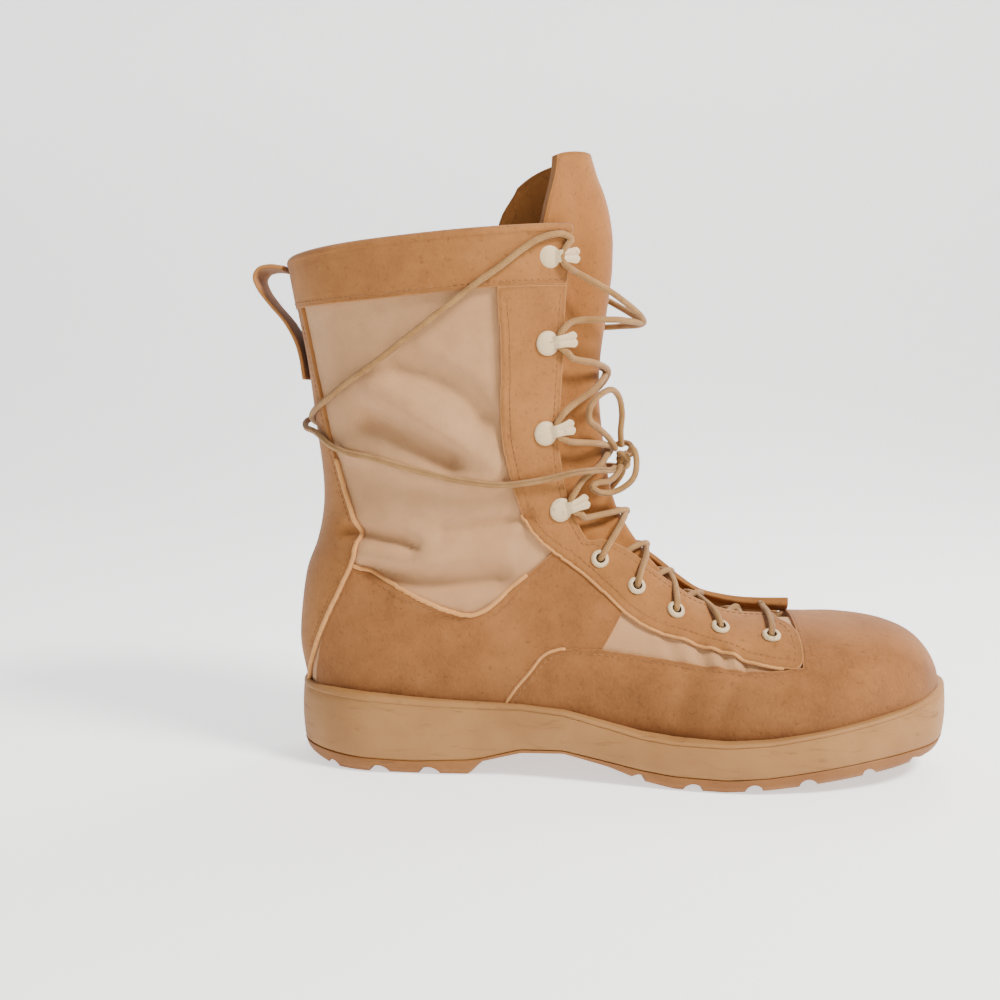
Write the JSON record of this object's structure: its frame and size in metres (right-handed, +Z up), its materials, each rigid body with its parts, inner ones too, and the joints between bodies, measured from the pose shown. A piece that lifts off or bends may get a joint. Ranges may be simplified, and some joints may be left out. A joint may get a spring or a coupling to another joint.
{
  "type": "combat boot",
  "caption": "Tall laced right boot of suede over nylon, on a cup midsole with a lugged gum outsole, hooks and eyelets at the lacing and a pull loop behind.",
  "frame": {"origin": "on the floor, at the middle of the heel's resting face", "axes": "+X to the toe, +Y to the inner side of this right boot, +Z up"},
  "size_m": [0.3353, 0.1107, 0.2915],
  "materials": {
    "gum": "moulded gum rubber, scuffed",
    "midsole": "smooth moulded polyurethane, scuffed",
    "insole": "felted fabric",
    "nylon": "plain woven nylon, creased",
    "suede": "worn suede, napped",
    "painted_metal": "worn paint over brass",
    "lace": "braided cord"
  },
  "bodies": {
    "root": {"outsole": "gum", "midsole": "midsole", "insole": "insole", "upper": "nylon", "collar_band": "suede", "backstay": "suede", "vamp": "suede", "quarter_outer": "suede", "quarter_inner": "suede", "facing_outer": "suede", "facing_inner": "suede", "tongue": "suede", "pull_loop": "suede", "hook_outer_1": "painted_metal", "hook_outer_2": "painted_metal", "hook_outer_3": "painted_metal", "hook_outer_4": "painted_metal", "eyelet_outer_1": "painted_metal", "eyelet_outer_2": "painted_metal", "eyelet_outer_3": "painted_metal", "eyelet_outer_4": "painted_metal", "eyelet_outer_5": "painted_metal", "hook_inner_1": "painted_metal", "hook_inner_2": "painted_metal", "hook_inner_3": "painted_metal", "hook_inner_4": "painted_metal", "eyelet_inner_1": "painted_metal", "eyelet_inner_2": "painted_metal", "eyelet_inner_3": "painted_metal", "eyelet_inner_4": "painted_metal", "eyelet_inner_5": "painted_metal", "lace_bar": "lace", "lace_cross_1": "lace", "lace_cross_2": "lace", "lace_cross_3": "lace", "lace_cross_4": "lace", "lace_cross_5": "lace", "lace_cross_6": "lace", "lace_cross_7": "lace", "lace_cross_8": "lace", "lace_wrap_outer": "lace", "lace_wrap_inner": "lace", "lace_knot": "lace", "lace_loop_1": "lace", "lace_loop_2": "lace", "lace_end_1": "lace", "lace_end_2": "lace"}
  },
  "joints": []
}
